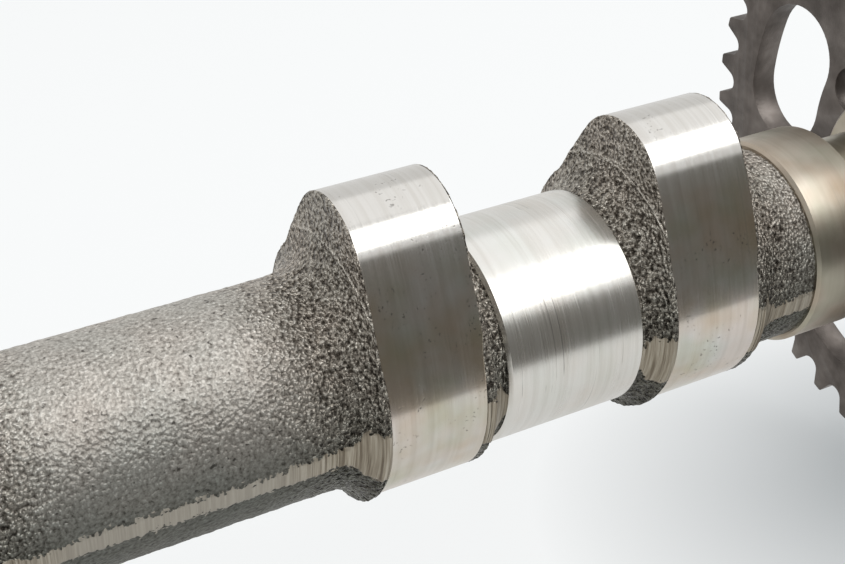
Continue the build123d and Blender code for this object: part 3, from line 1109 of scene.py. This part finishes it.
def make_paper():
    """Paper that glows for the camera and for polished faces, with a painted shadow for the camera."""
    material, tree, shader = new_material("paper")
    shader.inputs["Base Color"].default_value = tone(0.84, 0.845, 0.85)
    shader.inputs["Roughness"].default_value = 0.9
    shader.inputs["Specular IOR Level"].default_value = 0.1
    place = object_place(tree)
    # Painted shadow: the white that the camera sees darkens near the shadow's centre
    away = add_node(tree, "ShaderNodeVectorMath", {"operation": "DISTANCE"}, _0=place, _1=PAINTED_SHADOW_CENTRE)
    lit = spread(tree, away.outputs["Value"], 0.018, 0.068)
    white_with_painted_shadow = mix_colour(tree, lit, tone(0.42, 0.445, 0.455), tone(0.97, 0.985, 0.985))
    path = add_node(tree, "ShaderNodeLightPath").outputs
    glow_colour = mix_colour(tree, path["Is Camera Ray"], tone(0.87, 0.86, 0.83), white_with_painted_shadow)
    glow = result_of(tree, "ShaderNodeEmission", Color=glow_colour, Strength=1.0)
    to_camera = math_of(tree, "MULTIPLY", path["Is Camera Ray"], 0.80)
    seen = math_of(tree, "MAXIMUM", to_camera, math_of(tree, "MULTIPLY", path["Is Glossy Ray"], 0.56))
    mixed = result_of(tree, "ShaderNodeMixShader", _0=seen, _1=shader.outputs[0], _2=glow)
    tree.links.new(mixed, tree.nodes["Material Output"].inputs["Surface"])
    return material


floor = add_plane("floor", (0, 0, floor_z), 8, 8)
floor.data.materials.append(make_paper())
print("floor at", round(floor_z, 4), "m")

# %% [markdown]
# ## What the metal sees
# Bare metal has almost no look of its own: it shows the room. A round bar squeezes the whole
# room into a few bands, so the room is made of bands too. It is pale nearly everywhere. High
# on the near side hangs a soft lamp, which gives the hard white line along the lobes and the
# journal. Under it, down to the table, the near side is dark, which gives the dark band below
# that line, and the table close by gives the pale band at the bottom. The dark part is a
# low card that only polished faces see, so it stands close without throwing a shadow.

# %% World
world = bpy.data.worlds.new("studio")
bpy.context.scene.world = world
world.use_nodes = True
world_tree = world.node_tree
path = add_node(world_tree, "ShaderNodeLightPath").outputs
room = mix_colour(world_tree, path["Is Glossy Ray"], tone(0.68, 0.69, 0.70), tone(0.84, 0.84, 0.83))
seen_world = mix_colour(world_tree, path["Is Camera Ray"], room, tone(0.965, 0.985, 0.98))
world_tree.links.new(seen_world, world_tree.nodes["Background"].inputs["Color"])
print("world set")

# %% Lamps and cards
def add_softbox(name, place, target, width, depth, power):
    """A rectangular lamp that looks at a target."""
    lamp = bpy.data.lights.new(name, "AREA")
    lamp.shape = "RECTANGLE"
    lamp.size, lamp.size_y = width, depth
    lamp.energy = power
    holder = bpy.data.objects.new(name, lamp)
    holder.location = place
    holder.rotation_euler = (Vector(target) - Vector(place)).to_track_quat("-Z", "Y").to_euler()
    bpy.context.scene.collection.objects.link(holder)


def add_card(name, centre, target, width, depth, strength, colour):
    """A glowing card that is seen in polished faces and nowhere else."""
    card = add_plane(name, centre, width, depth, Vector(target) - Vector(centre))
    material, tree, _ = new_material(name)
    glow = result_of(tree, "ShaderNodeEmission", Color=colour, Strength=strength)
    tree.links.new(glow, tree.nodes["Material Output"].inputs["Surface"])
    card.data.materials.append(material)
    card.visible_camera = card.visible_diffuse = card.visible_shadow = False


middle = (-0.06, 0, 0)
add_softbox("near_softbox", (0.36, -0.61, 0.675), middle, 1.7, 0.46, 6.4)
add_softbox("high_softbox", (0.22, 0.12, 0.80), (0.22, 0.12, 0), 1.4, 0.8, 1.1)
add_card("dark_side", (0.2, -0.105, 0.0), (0.2, 0, 0.0), 1.8, 0.094, 0.17, tone(1.0, 0.97, 0.90))
print("lamps:", [item.name for item in bpy.data.lights])

# %% [markdown]
# ## The camera
# The part is seen from behind and above the third lobe, with the shaft running away to the
# right. The lens is a long one, held close.

# %% Camera
CAMERA_PLACE = (-0.12411, -0.14886, 0.07630)
LENS = 65.16
camera_data = bpy.data.cameras.new("camera")
camera = bpy.data.objects.new("camera", camera_data)
camera_data.sensor_width = 36
camera_data.lens = LENS
camera_data.clip_start = 0.01
camera_data.clip_end = 20
right = Vector((0.8794, -0.4663, -0.0964))
up = Vector((0.2590, 0.2985, 0.9186))
rotation = Matrix((right, up, right.cross(up))).transposed()
camera.matrix_world = Matrix.Translation(CAMERA_PLACE) @ rotation.to_4x4()
bpy.context.scene.collection.objects.link(camera)
bpy.context.scene.camera = camera
bpy.context.scene.view_settings.view_transform = "Standard"
print("lens", LENS, "mm")

# %% [markdown]
# ## Finish
# The dressed part should agree with the solids to the height of the sand's lumps. Here the
# scene is only brought up to date.

# %% Finish
bpy.context.view_layer.update()
